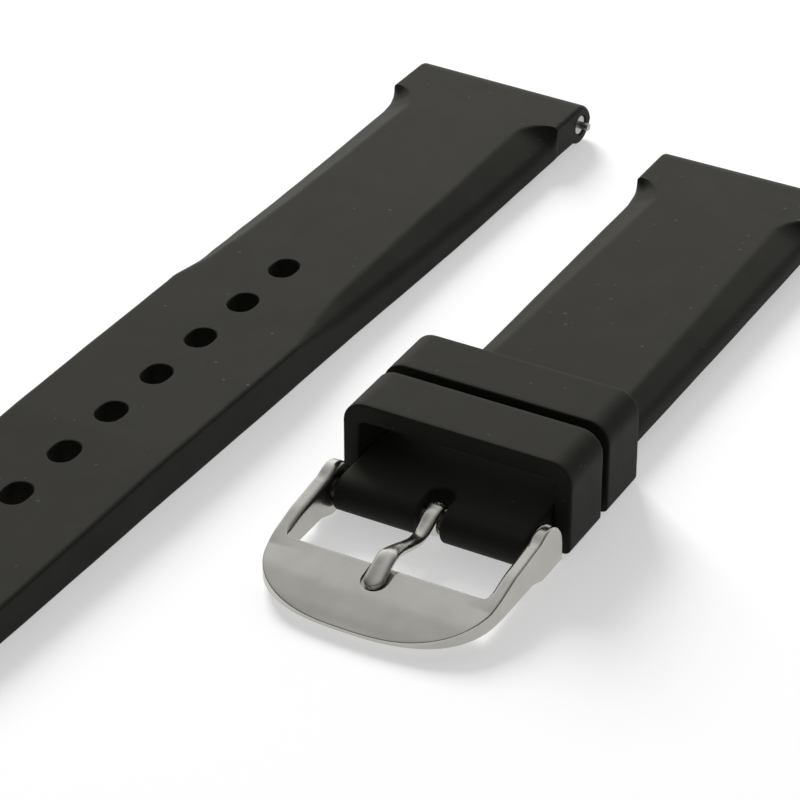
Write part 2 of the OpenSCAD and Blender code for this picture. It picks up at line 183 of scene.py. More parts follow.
# Straight lines between knots (place, value), made round by a mean of the lines over nine
# places within softness of x. The weights fall evenly from 1 in the middle to 0.1 at the
# ends. Past the first and the last knot the value stays the same.
def softInterp(x, knots, softness):
    places, values = np.array(sorted(knots)).T
    shifts = np.linspace(-1, 1, 9)
    weights = 1 - np.abs(shifts) * 0.9
    total = sum(w * np.interp(x + softness * s, places, values) for s, w in zip(shifts, weights))
    return total / weights.sum()


# The lower of a and b, rounded where they cross: the mean less half of a hyperbola.
def softMin(a, b, softness):
    return (a + b - np.sqrt((a - b) ** 2 + softness ** 2)) / 2


# The higher of a and b, rounded where they cross.
def softMax(a, b, softness):
    return -softMin(-a, -b, softness)


# A power of a number's size, with its sign: the step from a circle to a superellipse.
def signedPower(value, power):
    return np.sign(value) * np.abs(value) ** power


# Steps of a quarter circle between two lines: 1 less the cosine, which rises from 0 to 1,
# and 1 less the sine, which falls from 1 to 0.
def quarterSteps(count):
    angles = np.linspace(0, math.pi / 2, count)
    return 1 - np.cos(angles), 1 - np.sin(angles)


# A profile of places along x and radii, turned about the x axis.
def turned(places, radii, count):
    turns = np.linspace(0, 2 * math.pi, count, endpoint=False)
    x = np.broadcast_to(np.array(places)[:, None], (len(places), count))
    radii = np.array(radii)[:, None]
    return np.stack([x, radii * np.cos(turns), radii * np.sin(turns)], -1)


# The same line with count points at even distances along it.
def spacedAlong(line, count):
    steps = np.linalg.norm(np.diff(line, axis=0), axis=1)
    places = np.concatenate([[0], np.cumsum(steps)])
    wanted = np.linspace(0, places[-1], count)
    return np.stack([np.interp(wanted, places, line[:, k]) for k in range(2)], -1)


# Rubber halves: a cross-section carried along the half, with soft corners. A half is worked
# out at its own place, with its lug bar along x at y zero and the strap towards -y.

section = {
    "centre": 3.0,       # half width of the middle strip, whose points keep their place across,
    "centreMost": 0.5,   # and the most of a section's half width that it takes
    "centreStep": 0.5,
    "cornerPoints": 7,
    "cornerShare": 0.48,  # the most of a line that a round corner takes
    "facetSlope": 31.0,
    "mostDrop": 0.45,    # the most of the thickness that a facet or a hole's edge takes
    # where the points stand along the top, the facet, the wall and the underside
    "shares": ((0.35, 0.7, 0.93), (0.12, 0.5, 0.88), (0.15, 0.5, 0.85), (0.07, 0.3, 0.65)),
    "bluntAngle": 0.022,  # how far short of the end a blunt nose stops, in radians
    "noseBlend": 0.12,   # softness between a nose and the underside
    "waveStart": -8.0,
    "waveLengths": (31.0, 13.0, 5.3),
    "waveHeights": (0.5, 0.35, 0.15),
}
middleSteps = round(section["centre"] / section["centreStep"])


# A slow irregular wave along a half, past its lug end: three sines of different lengths,
# whose phases are drawn from seed.
def wave(y, seed, height):
    phases = np.random.default_rng(seed).uniform(0, 2 * math.pi, 3)
    sines = np.sin(2 * math.pi * y[..., None] / np.array(section["waveLengths"]) + phases)
    total = (np.array(section["waveHeights"]) * sines).sum(-1)
    return height * total * (y < section["waveStart"])


# Moves a half from its own place to the frame: a turn about the vertical, then a shift to
# its lug bar.
def placeHalf(points, bar, turn):
    c, s = math.cos(turn), math.sin(turn)
    x, y, z = points[..., 0], points[..., 1], points[..., 2]
    return np.stack([bar[0] + c * x - s * y, bar[1] + s * x + c * y, z], -1)


# A quadratic Bezier round the corner of each section: it leaves the line to the point
# before at reach from the corner, or at most a share of the line, and joins the line to the
# point after.
def roundCorner(before, corner, after, reach):
    ways = [before - corner, after - corner]
    lengths = [np.maximum(np.linalg.norm(way, axis=-1, keepdims=True), tiny) for way in ways]
    cut = np.minimum(reach, np.minimum(*lengths) * section["cornerShare"])
    start, end = ((corner + way / length * cut)[:, None] for way, length in zip(ways, lengths))
    t = np.linspace(0, 1, section["cornerPoints"])[None, :, None]
    return (1 - t) ** 2 * start + 2 * t * (1 - t) * corner[:, None] + t ** 2 * end


# Points at the given shares of the way from start to end.
def between(start, end, shares):
    shares = np.array(shares)[None, :, None]
    return start[:, None] + (end - start)[:, None] * shares


# One side of each section, from the middle of the top to the middle of the underside: flat
# top, facet, wall, underside, with a round corner between each two. The wall's foot stands
# out by the draft.
def halfRing(half, top, bottom, facet, drop, reaches, draft):
    centre = np.minimum(section["centre"], half * section["centreMost"])
    drop = np.minimum(drop, (top - bottom) * section["mostDrop"])
    steps = np.linspace(0, 1, middleSteps + 1)
    zero = np.zeros_like(half)
    x = [zero, centre, half - facet, half, half + draft, centre, zero]
    z = [top, top, top, top - drop, bottom, bottom, bottom]
    bends = [np.stack(place, -1) for place in zip(x, z)]
    corners = [roundCorner(*bends[k:k + 3], reaches[k - 1]) for k in (1, 2, 3)]
    line, last = [between(bends[0], bends[1], steps)], bends[1]
    for corner, shares in zip(corners, section["shares"]):
        line += [between(last, corner[:, 0], shares), corner]
        last = corner[:, -1]
    line.append(between(last, bends[5], section["shares"][3]))
    return np.concatenate([*line, between(bends[5], bends[6], steps)], 1)


# Both sides of each section as one closed ring, where the left side is given as a right one.
# With it come its quads, a mark for each quad that stays, the columns of the middle strip
# from left to right on the top and on the underside, and the strip's columns of quads.
def halfSkin(y, right, left):
    ring = np.concatenate([right, left[:, -2:0:-1] * np.array([-1, 1])], 1)
    along = np.broadcast_to(y[:, None], ring.shape[:2])
    ring = np.stack([ring[..., 0], along, ring[..., 1]], -1)
    faces = gridFaces(*ring.shape[:2])
    n, side, around = middleSteps, right.shape[1], ring.shape[1]
    top = np.concatenate([np.arange(around - n, around), np.arange(0, n + 1)])
    bottom = np.arange(side + n - 1, side - n - 2, -1)
    stripQuads = np.concatenate([top[:-1], bottom[1:]])
    return ring, faces, np.ones(faces.shape[:2], bool), top, bottom, stripQuads


# Places from a bar's axis to the end of the round nose, closer towards the end: the
# radius times the sine of evenly spaced angles. A blunt nose ends just short of the last
# one, in a flat strip.
def noseStations(radius, count, blunt=False):
    return radius * np.sin(np.linspace(0, math.pi / 2 - section["bluntAngle"] * blunt, count))


# Heights of the top and the underside along a half: flat between the noses, whose
# circles (place, height, radius, side) close each end.
def roundEnds(y, noses, top, under):
    high, low = np.full_like(y, top), np.array(under, float)
    for place, height, radius, side in noses:
        run = np.sqrt(np.maximum(radius ** 2 - (y - place) ** 2, 0))
        past = (y - place) * side > 0
        near = np.abs(y - place) < radius
        blended = softMin(low, height - run, section["noseBlend"])
        high = np.where(past, height + run, high)
        low = np.where(past, height - run, np.where(near, blended, low))
    return high, low


holeWall = {
    "leadShares": (0, 0.3, 0.6, 0.85, 0.96),  # rings on the way from the border to the rim
    "wallShares": (0.1, 0.5, 0.9),
    "edgePoints": 7,
}


# A sheet from the top round a hole's rim, down its wall and out along the underside: straight
# to the rim, a quarter circle, the wall, and the same again below. outer: border points on
# the top and the underside; rim: the wall's outline with its directions outward into the
# rubber; heights: function of place that gives the top and the underside.
def wallLoop(outer, rim, outward, heights, fillet, closed):
    high, low = heights(rim[:, 1])
    soft = np.minimum(fillet, (high - low) * section["mostDrop"])
    spread = outward * soft[:, None]
    rise, fall = quarterSteps(holeWall["edgePoints"])

    def lead(side, level, towards):
        rings = []
        for share in holeWall["leadShares"]:
            flat = outer[side][:, :2] * (1 - share) + (rim + spread) * share
            rings.append(np.column_stack([flat, heights(flat[:, 1])[side]]))
        for sink, out in zip(rise, fall):
            rings.append(np.column_stack([rim + spread * out, level + towards * soft * sink]))
        return rings

    wall = [np.column_stack([rim, high - soft + (low - high + 2 * soft) * share])
            for share in holeWall["wallShares"]]
    grid = np.stack([*lead(0, high, -1), *wall, *lead(1, low, 1)[::-1]])
    return grid, gridFaces(*grid.shape[:2], closedColumns=closed)


bars = {
    "bore": 0.85,
    "pocket": 1.12,
    "lugPocketStart": 8.0,
    "bucklePocketStart": 8.2,
    "mouth": 0.1,        # how much the pocket's soft mouth widens,
    "mouthBend": 0.3,    # and where it bends on the way
    "past": 2.0,         # how far the cutter stands out of the half
    "cutterPoints": 48,
}


# Takes a bar's bore out of a half: a stepped profile turned about the bar's axis, which runs
# across the half. The step is the pocket for the flange, with a soft mouth.
def cutBore(piece, half, pocketStart, place, turn=0.0):
    bore, pocket, mouth = bars["bore"], bars["pocket"], bars["mouth"]
    bend, outside = bars["mouthBend"], half + bars["past"]
    profile = np.array([
        (pocketStart, bore), (pocketStart, pocket), (half - mouth, pocket),
        (half - mouth * bend, pocket + mouth * bend), (half, pocket + mouth),
        (outside, pocket + mouth), (outside, 0)])
    profile = np.concatenate([profile[::-1] * np.array([-1, 1]), profile])
    points = placeHalf(turned(*profile.T, bars["cutterPoints"]), place, turn)
    points[..., 2] += place[2]
    cutAway(piece, makeTube("boreCutter", points))


lugEnd = {
    "width": 20.0,
    "blockLength": 5.3,
    "shoulderLength": 3.5,
    "scoopLength": 3.6,
    "edge": 0.3,         # width and drop of the soft top edge where there is no facet
    "edgeDrop": 0.26,
    "thickness": 4.2,
    "nosePoints": 14,
    "blockPoints": 9,
    "scoopPoints": 31,
}
lugRadius = lugEnd["thickness"] / 2
lugNose = (0, lugRadius, lugRadius, 1)
lugBlock = -lugEnd["blockLength"]
lugSide = (lugBlock, lugEnd["width"] / 2)
shoulder = lugBlock - lugEnd["shoulderLength"]
scoopEnd = lugBlock - lugEnd["scoopLength"]


# Places along a half's lug end, from its nose to the end of the facet's scoop: by sines
# on the nose, then even steps, then by cosines along the quarter ellipse of the scoop.
def lugStations():
    nose = noseStations(lugRadius, lugEnd["nosePoints"], blunt=True)[::-1]
    boss = -noseStations(lugRadius, lugEnd["nosePoints"])[1:]
    block = np.linspace(-lugRadius, lugBlock, lugEnd["blockPoints"])[1:]
    rise = quarterSteps(lugEnd["scoopPoints"])[0][1:]
    return np.concatenate([nose, boss, block, lugBlock - lugEnd["scoopLength"] * rise])


# How far a facet has opened at y: the height of the scoop's quarter ellipse.
def facetShare(y):
    share = np.clip((lugBlock - y) / lugEnd["scoopLength"], 0, 1)
    return np.sqrt(1 - (1 - share) ** 2)


# Width and drop of the facet, from the soft edge of the lug block to the full facet.
def facetSize(y, width):
    share = facetShare(y)
    slope = math.tan(math.radians(section["facetSlope"]))
    facet = lugEnd["edge"] + (width - lugEnd["edge"]) * share
    drop = lugEnd["edgeDrop"] + (width * slope - lugEnd["edgeDrop"]) * share
    return facet, drop


shortHalf = {
    "width": 19.1,
    "fuller": 0.33,      # how far the right side stands out more at the lug end
    "sideSoftness": 0.5,
    "sideWave": 0.025,
    "facet": (2.1, 3.1),  # its width at the keepers and at the lug end
    "facetFull": -9.5,   # where it has its full width, and where it has faded out
    "facetEnd": -60.45,
    "facetWave": 0.06,
    "under": 1.1,
    "noseRadius": 1.85,
    "slotHalf": 1.3,
    "slotRear": 2.3,
    "slotBlock": 3.6,
    "slotEdge": 0.2,
    "draft": 0.1,
    "reaches": (0.3, 0.9, 0.3),
    "points": (96, 5, 12, 16),  # along the body, the slot, the boss and the nose
    "seeds": (3, 4, 5),  # of the right side's wave, the left side's and the facet's
}


# The buckle half: sections along the lug end, the body, the slot for the tang and the nose
# round the buckle's bar. Where the slot is, the middle strip is left out, and a sheet of its
# own makes the slot's wall: straight sides, and a half circle behind.
def makeShortHalf():
    own = shortHalf
    length = shortLugBar[1] - buckleBar[1]
    keeperEdge = nodeBox("free_keeper")[1][1] - shortLugBar[1]
    slotEnd = -length + own["slotBlock"]
    bodyCount, slotCount, bossCount, noseCount = own["points"]
    rightSeed, leftSeed, facetSeed = own["seeds"]
    y = np.concatenate([
        lugStations(),
        np.linspace(scoopEnd, slotEnd, bodyCount)[1:],
        np.linspace(slotEnd, -length + own["noseRadius"], slotCount)[1:],
        -length + noseStations(own["noseRadius"], bossCount)[::-1][1:],
        -length - noseStations(own["noseRadius"], noseCount, blunt=True)[1:]])
    noses = [lugNose, (-length, buckleBar[2], own["noseRadius"], -1)]

    def heights(place):
        return roundEnds(place, noses, lugEnd["thickness"], np.full_like(place, own["under"]))

    high, low = heights(y)
    width = np.interp(y, [keeperEdge, own["facetFull"]], own["facet"])
    width *= np.sqrt(np.clip((y - own["facetEnd"]) / (keeperEdge - own["facetEnd"]), 0, 1))
    width = np.maximum(width, lugEnd["edge"]) + wave(y, facetSeed, own["facetWave"])
    facet, drop = facetSize(y, width)

    def side(fuller, seed):
        flat = own["width"] / 2
        edge = [(keeperEdge, flat), (shoulder, flat + fuller), lugSide]
        half = softInterp(y, edge, own["sideSoftness"]) + wave(y, seed, own["sideWave"])
        draft = own["draft"] * facetShare(y)
        return halfRing(half, high, low, facet, drop, own["reaches"], draft)

    ring, faces, keep, topColumns, bottomColumns, stripQuads = halfSkin(
        y, side(own["fuller"], rightSeed), side(0, leftSeed))
    slotRow = np.argmin(np.abs(y - slotEnd))
    keep[slotRow:, stripQuads] = False
    rows = np.arange(slotRow, len(y))

    def border(columns):
        return np.concatenate([ring[rows[::-1], columns[0]], ring[slotRow, columns[1:-1]],
                               ring[rows, columns[-1]]])

    outer = border(topColumns), border(bottomColumns)
    outerX, outerY = outer[0][:, 0], outer[0][:, 1]
    centreY = -length + own["slotRear"] - own["slotHalf"]
    straight = outerY <= centreY
    bend = np.nonzero(~straight)[0]
    share = (np.arange(len(straight)) - bend[0] + 0.5) / len(bend)
    angle = math.pi * (1 - np.clip(share, 0, 1))
    outward = np.stack([np.where(straight, np.sign(outerX), np.cos(angle)),
                        np.where(straight, 0, np.sin(angle))], -1)
    rim = own["slotHalf"] * outward
    rim[:, 1] += np.where(straight, outerY, centreY)
    slot = wallLoop(outer, rim, outward, heights, own["slotEdge"], closed=False)
    points, quads = joinSheets([(ring, faces[keep]), slot])
    points[:, :2] += shortLugBar[:2]
    piece = makePiece("buckleHalfRubber", points, quads)
    cutBore(piece, lugEnd["width"] / 2, bars["lugPocketStart"], shortLugBar)
    cutBore(piece, own["width"] / 2, bars["bucklePocketStart"], buckleBar)
    return piece


longHalf = {
    "length": 115.0,
    "tipWidth": 17.2,
    "tipThickness": 3.4,
    # Distance of each side from the centre line and width of its facet, by the place along
    # the strap from the lug bar: the left side is fuller than the right up to the holes.
    "leftSide": ((-106.0, 8.45), (-80.0, 8.6), (-66.0, 8.77), (-52.0, 8.77), (-47.0, 9.0),
                 (-43.0, 9.4), (-38.0, 9.7), (-25.0, 9.74), (-17.0, 9.72), (-8.8, 9.68)),
    "rightSide": ((-106.0, 8.75), (-80.0, 8.82), (-58.0, 8.95), (-46.0, 8.98), (-38.0, 9.15),
                  (-25.0, 9.45), (-17.0, 9.67), (-8.8, 9.85)),
    "leftFacet": ((-53.0, -0.3), (-46.0, 1.6), (-40.0, 2.6), (-30.0, 3.0), (-18.0, 3.3)),
    "rightFacet": ((-59.5, -0.3), (-50.0, 1.3), (-47.0, 1.75), (-38.0, 2.25), (-33.0, 2.5),
                   (-24.0, 2.8), (-14.0, 3.3), (-9.0, 3.5)),
    "sideSoftness": 0.9,
    "facetSoftness": 1.2,
    "sideWave": 0.03,
    "facetWave": 0.06,
    "mostFacet": 0.4,    # the most of the half width that a facet takes
    "firstHole": 44.4,
    "holePitch": 7.5,
    "holeCount": 7,
    "holeRadius": 1.37,
    "holeRun": 0.86,     # how much longer than round a hole is,
    "holeBlend": 0.4,    # and the share of its radius that takes this up
    "holeEdge": 0.13,
    "thinStart": 33.0,
    "recess": 0.5,
    "recessRun": 18.0,
    "draft": 0.1,
    "reaches": (0.3, 0.9, 0.35),
    "sway": 0.5,         # how far the lug end has set to the left of the rest
    "swayHalf": 18.0,    # distance from the lug bar to where half of it is reached
    "swayShoulder": 0.2,  # share of it at the shoulder
    "longSoftness": 1.5,  # softness of the recess's ramp and of the sway
    "points": (60, 22, 40),  # along the body, behind the holes and round the tip
    "rightSeeds": (8, 11),  # of the side's wave and of its facet's
    "leftSeeds": (9, 12),
}


# The hole half: sections along the lug end, the body, the holes and the tip, where the widths
# close in a half circle. The middle strip is left out round each hole, and a sheet makes its
# wall: a circle whose halves stand apart along the strap.
def makeLongHalf():
    own = longHalf
    block = section["centre"]
    centres = -own["firstHole"] - own["holePitch"] * np.arange(own["holeCount"])
    firstEdge, lastEdge = centres[0] + block, centres[-1] - block
    holeRows = round((firstEdge - lastEdge) / section["centreStep"]) + 1
    tipHalf = own["tipWidth"] / 2
    tipEnd = lugRadius - own["length"]
    tipCentre = tipEnd + tipHalf
    bodyCount, restCount, tipCount = own["points"]
    y = np.concatenate([
        lugStations(),
        np.linspace(scoopEnd, firstEdge, bodyCount)[1:],
        np.linspace(firstEdge, lastEdge, holeRows)[1:],
        np.linspace(lastEdge, tipCentre, restCount)[1:],
        tipCentre - noseStations(tipHalf, tipCount)[1:]])

    def heights(place):
        ramp = [(shoulder - own["recessRun"], 0), (shoulder, own["recess"])]
        under = softInterp(place, ramp, own["longSoftness"])
        high, low = roundEnds(place, [lugNose], lugEnd["thickness"], under)
        thin = np.interp(place, [tipEnd, -own["firstHole"] - own["thinStart"]], [1, 0])
        return high - thin * (lugEnd["thickness"] - own["tipThickness"]), low

    high, low = heights(y)
    tipRound = np.sqrt(np.maximum(1 - (np.minimum(y - tipCentre, 0) / tipHalf) ** 2, 0))

    def side(edge, facets, seeds):
        half = softInterp(y, [*edge, lugSide], own["sideSoftness"])
        half = (half + wave(y, seeds[0], own["sideWave"])) * tipRound
        width = softInterp(y, facets, own["facetSoftness"])
        ripple = wave(y, seeds[1], own["facetWave"]) * (y > centres[0])
        facet, drop = facetSize(y, np.maximum(width, lugEnd["edge"]) + ripple)
        facet = np.minimum(facet, half * own["mostFacet"])
        draft = own["draft"] * facetShare(y) * tipRound
        return halfRing(half, high, low, facet, drop, own["reaches"], draft)

    ring, faces, keep, topColumns, bottomColumns, stripQuads = halfSkin(
        y, side(own["rightSide"], own["rightFacet"], own["rightSeeds"]),
        side(own["leftSide"], own["leftFacet"], own["leftSeeds"]))
    sheets = []
    for centre in centres:
        first = np.argmin(np.abs(y - centre - block))
        last = np.argmin(np.abs(y - centre + block))
        keep[first:last, stripQuads] = False
        rows = np.arange(first, last + 1)

        def border(columns):
            return np.concatenate([
                ring[first, columns[:-1]], ring[rows[:-1], columns[-1]],
                ring[last, columns[:0:-1]], ring[rows[:0:-1], columns[0]]])

        outer = border(topColumns), border(bottomColumns)
        angle = np.arctan2(outer[0][:, 1] - centre, outer[0][:, 0])
        outward = np.stack([np.cos(angle), np.sin(angle)], -1)
        rim = own["holeRadius"] * outward
        apart = np.clip(outward[:, 1] / own["holeBlend"], -1, 1)
        rim[:, 1] += centre + own["holeRun"] / 2 * apart
        sheets.append(wallLoop(outer, rim, outward, heights, own["holeEdge"], closed=True))
    points, quads = joinSheets([(ring, faces[keep]), *sheets])
    points[:, 0] += softInterp(points[:, 1], [
        (-own["firstHole"], own["sway"]), (-own["swayHalf"], own["sway"] / 2),
        (shoulder, own["sway"] * own["swayShoulder"]), (lugBlock, 0)], own["longSoftness"])
    piece = makePiece("holeHalfRubber", placeHalf(points, longLugBar, longTurn), quads)
    cutBore(piece, lugEnd["width"] / 2, bars["lugPocketStart"], longLugBar, longTurn)
    return piece


# Keepers: an outer and an inner loop with matching points, and a soft-edged band between

keeperShape = {
    "outerRadius": 2.2,
    "footRadius": 0.6,
    "innerRadius": 0.55,
    "outerEdge": 0.18,
    "innerEdge": 0.2,
    "fixedWalls": (1.7, 1.1),    # thickness of the sides and of the bottom
    "freeWalls": (1.42, 0.8),
    "top": 1.9,
    "cornerPoints": 14,
    "sidePoints": 14,
    "edgePoints": 6,
    "faceShares": (-0.85, 0, 0.85),
    "edgeShares": (0.1, 0.5, 0.9),
}


# A rectangle with round corners, counter-clockwise: a quarter circle at each corner, of one
# radius at the top and another at the foot, with evenly spaced points on the straights.
def roundRect(low, high, topRadius, footRadius):
    arcs = []
    for k, (right, up) in enumerate([(1, 1), (0, 1), (0, 0), (1, 0)]):
        radius = topRadius if up else footRadius
        corner = np.array([(low, high)[right][0], (low, high)[up][1]])
        centre = corner + radius * np.array([1 - 2 * right, 1 - 2 * up])
        angles = np.linspace(0, math.pi / 2, keeperShape["cornerPoints"]) + k * math.pi / 2
        arcs.append(centre + radius * np.stack([np.cos(angles), np.sin(angles)], -1))
    shares = np.linspace(0, 1, keeperShape["sidePoints"] + 2)[1:-1, None]
    loop = []
    for arc, following in zip(arcs, arcs[1:] + arcs[:1]):
        loop += [arc, arc[-1] + (following[0] - arc[-1]) * shares]
    return np.concatenate(loop)


# Depth from the outer face and place along the strap round a band's section: the outer face,
# an edge with a quarter circle at each corner, the inner face and the other edge.
def bandSection(thickness, length):
    own = keeperShape
    outerEdge, innerEdge = own["outerEdge"], own["innerEdge"]
    rise, fall = quarterSteps(own["edgePoints"])
    faceShares, edgeShares = np.array(own["faceShares"]), np.array(own["edgeShares"])
    half, none = length / 2, 0 * thickness
    edgeDepth = np.concatenate([
        none + outerEdge * rise, outerEdge + (thickness - outerEdge - innerEdge) * edgeShares,
        thickness - innerEdge * fall], 1)
    edgeAlong = np.concatenate([
        half - outerEdge * fall, half + 0 * edgeShares, half - innerEdge * rise])
    depth = np.concatenate([
        none + 0 * faceShares, edgeDepth, thickness + 0 * faceShares, edgeDepth[:, ::-1]], 1)
    along = np.concatenate([
        faceShares * (half - outerEdge), edgeAlong, -faceShares * (half - innerEdge),
        -edgeAlong[::-1]])
    return depth, along


# A keeper fills its node's box: the band's section stands at each point of the outer loop,
# on the line to the matching point of the inner one.
def makeKeeper(name, node, walls):
    own = keeperShape
    low, high = nodeBox(node)
    outer = roundRect(low[[0, 2]], high[[0, 2]], own["outerRadius"], own["footRadius"])
    innerLow = low[[0, 2]] + np.array(walls)
    innerHigh = high[[0, 2]] - np.array([walls[0], own["top"]])
    across = roundRect(innerLow, innerHigh, own["innerRadius"], own["innerRadius"]) - outer
    thickness = np.linalg.norm(across, axis=1, keepdims=True)
    depth, along = bandSection(thickness, high[1] - low[1])
    flat = outer[:, None] + (across / thickness)[:, None] * depth[..., None]
    along = np.broadcast_to(along + (low[1] + high[1]) / 2, depth.shape)
    points = np.stack([flat[..., 0], along, flat[..., 1]], -1)
    return makeTube(name, points, closedRows=True)


# Buckle: a band between an outer and an inner outline, from ear to ear. Its places are
# measured from its bar, and the front is towards -y.

buckle = {
    "armIn": 9.95,
    "armOut": 11.3,
    "armPoints": (18, 10, 26),  # behind the bar, ahead of it and along the arm
    "earRadius": 2.5,
    "earFoot": 1.2,      # how far the ear's foot reaches ahead of the bar
    "earBlend": 0.2,
    "footHeight": 0.2,
    "archHeight": 0.9,   # height of the arms' underside over the table
    "archStart": 3.1,
    "frameLength": 16.8,
    "frontLift": 0.65,
    "windowLength": 9.4,
    "arcStart": 8.1,
    "arcPoints": 241,
    "frontBend": 2.6,
    "frontPoints": 170,
    "windowCorner": 0.45,
    "cornerPoints": 12,
    "plateThickness": 1.2,
    "plateBlend": 0.15,
    "skirt": (1.35, 1.5),  # where the underside may leave the rim's height, and its slope
    "skirtBlend": 0.05,
    "armEdge": 0.3,      # radii of the soft edges: the arms' outer and inner ones
    "armInnerEdge": 0.55,
    "frontEdge": 0.09,
    "frontBlend": (-13.5, -8.5),  # where the front's edge becomes the arms'
    "rearEdge": 0.18,
    "rearBlend": (-9.3, -8.4),
    "lowEdge": 0.12,
    "mostDrop": (0.6, 0.3),  # the most of the thickness that a top and a low edge take
    "points": (7, 28, 14),   # round each edge, across the top and across the underside
    "wallShares": (0.3, 0.7),
    "tipHole": 0.45,
    "tipHoleLead": 0.5,  # how far the cutter stands out of the arm
    "tipHoleEnd": 11.0,
    "tipHolePoints": 32,
    "rollStart": 8.3,    # where the plate's ends start to roll down, and by how much
    "roll": 0.02,
    "rollPower": 1.6,
    "rollIn": (0.4, 1.6),  # from how far into the window, and over what length it comes in
    "rollSlant": (0.9, 12.4, 2.0),  # how much nearer the middle it starts towards the window,
                         # from what distance ahead of the bar, and over what length
    "soften": 0.05,      # bevel on the edges that turn by more than so many degrees
    "softenAngle": 48.0,
    "softenSteps": 2,
    "topSoftness": 0.7,
    "tops": ((-16.8, 1.03), (-16.2, 1.27), (-15.5, 1.53), (-13.1, 2.24), (-9.4, 3.0),
             (-8.6, 3.22), (-6.4, 3.8), (-4.0, 4.08), (-2.4, 4.32), (0, 4.4)),
}


# Outer and inner outline about the bar, from the left ear round the front to the right ear.
# The front is a superellipse outside and a straight edge with round ends inside.
def buckleOutlines():
    own = buckle
    armEnd, flip = -own["windowLength"] + own["windowCorner"], np.array([-1, 1])
    behind, ahead, along = own["armPoints"]
    arm = np.concatenate([
        noseStations(own["earRadius"], behind)[::-1], -noseStations(own["earRadius"], ahead)[1:],
        np.linspace(-own["earRadius"], armEnd, along)[1:]])
    outerArm, innerArm = (np.stack([np.full_like(arm, -own[edge]), arm], -1)
                          for edge in ("armOut", "armIn"))
    angle = np.radians(np.linspace(180, 0, own["arcPoints"]))
    power, reach = 2 / own["frontBend"], own["frameLength"] - own["arcStart"]
    arc = np.stack([own["armOut"] * signedPower(np.cos(angle), power),
                    -own["arcStart"] - reach * signedPower(np.sin(angle), power)], -1)
    outerFront = np.concatenate([[(-own["armOut"], armEnd)], arc[arc[:, 1] < armEnd],
                                 [(own["armOut"], armEnd)]])
    rise, fall = quarterSteps(own["cornerPoints"])
    corner = own["windowCorner"]
    left = np.stack([-own["armIn"] + corner * rise, armEnd - corner * (1 - fall)], -1)
    innerFront = np.concatenate([left, left[::-1] * flip])
    outlines = []
    for side, front in ((outerArm, outerFront), (innerArm, innerFront)):
        front = spacedAlong(front, own["frontPoints"])
        outlines.append(np.concatenate([side[:-1], front, side[-2::-1] * flip]))
    return outlines


# Top and underside of the buckle. The top is the arms' line softened into the round ears, and
# past a slanting line the plate's ends roll down with a power of the distance. The underside
# is the feet, the arches and the plate's thickness under its top, less steep near the rim.
def buckleHeights(flat, fromOuter):
    own = buckle
    x, y = flat[..., 0], flat[..., 1]
    top = softInterp(y, own["tops"], own["topSoftness"])
    earTop = buckleBar[2] + np.sqrt(np.maximum(own["earRadius"] ** 2 - y ** 2, 0))
    nearEar = np.abs(y) < own["earRadius"]
    top = np.where(nearEar, softMax(top, earTop, own["earBlend"]), top)
    top = np.where(y > 0, earTop, top)
    rollAhead, rollRun = own["rollIn"]
    onPlate = np.clip((-own["windowLength"] + rollAhead - y) / rollRun, 0, 1)
    slant, slantStart, slantRun = own["rollSlant"]
    rollFrom = own["rollStart"] - slant * np.clip((y + slantStart) / slantRun, 0, 1)
    past = np.maximum(np.abs(x) - rollFrom, 0)
    top = top - own["roll"] * past ** own["rollPower"] * onPlate ** 2
    rim = np.interp(y, [-own["frameLength"], -own["windowLength"], -own["archStart"],
                        -own["earFoot"]],
                    [own["frontLift"], own["archHeight"], own["archHeight"], own["footHeight"]])
    skirtStart, skirtSlope = own["skirt"]
    skirt = rim + np.maximum(fromOuter - skirtStart, 0) * skirtSlope
    plateLow = softMin(top - own["plateThickness"], skirt, own["plateBlend"])
    low = softMax(rim, plateLow, own["skirtBlend"])
    return top, np.where(y > -own["windowLength"] + own["windowCorner"], rim, low)


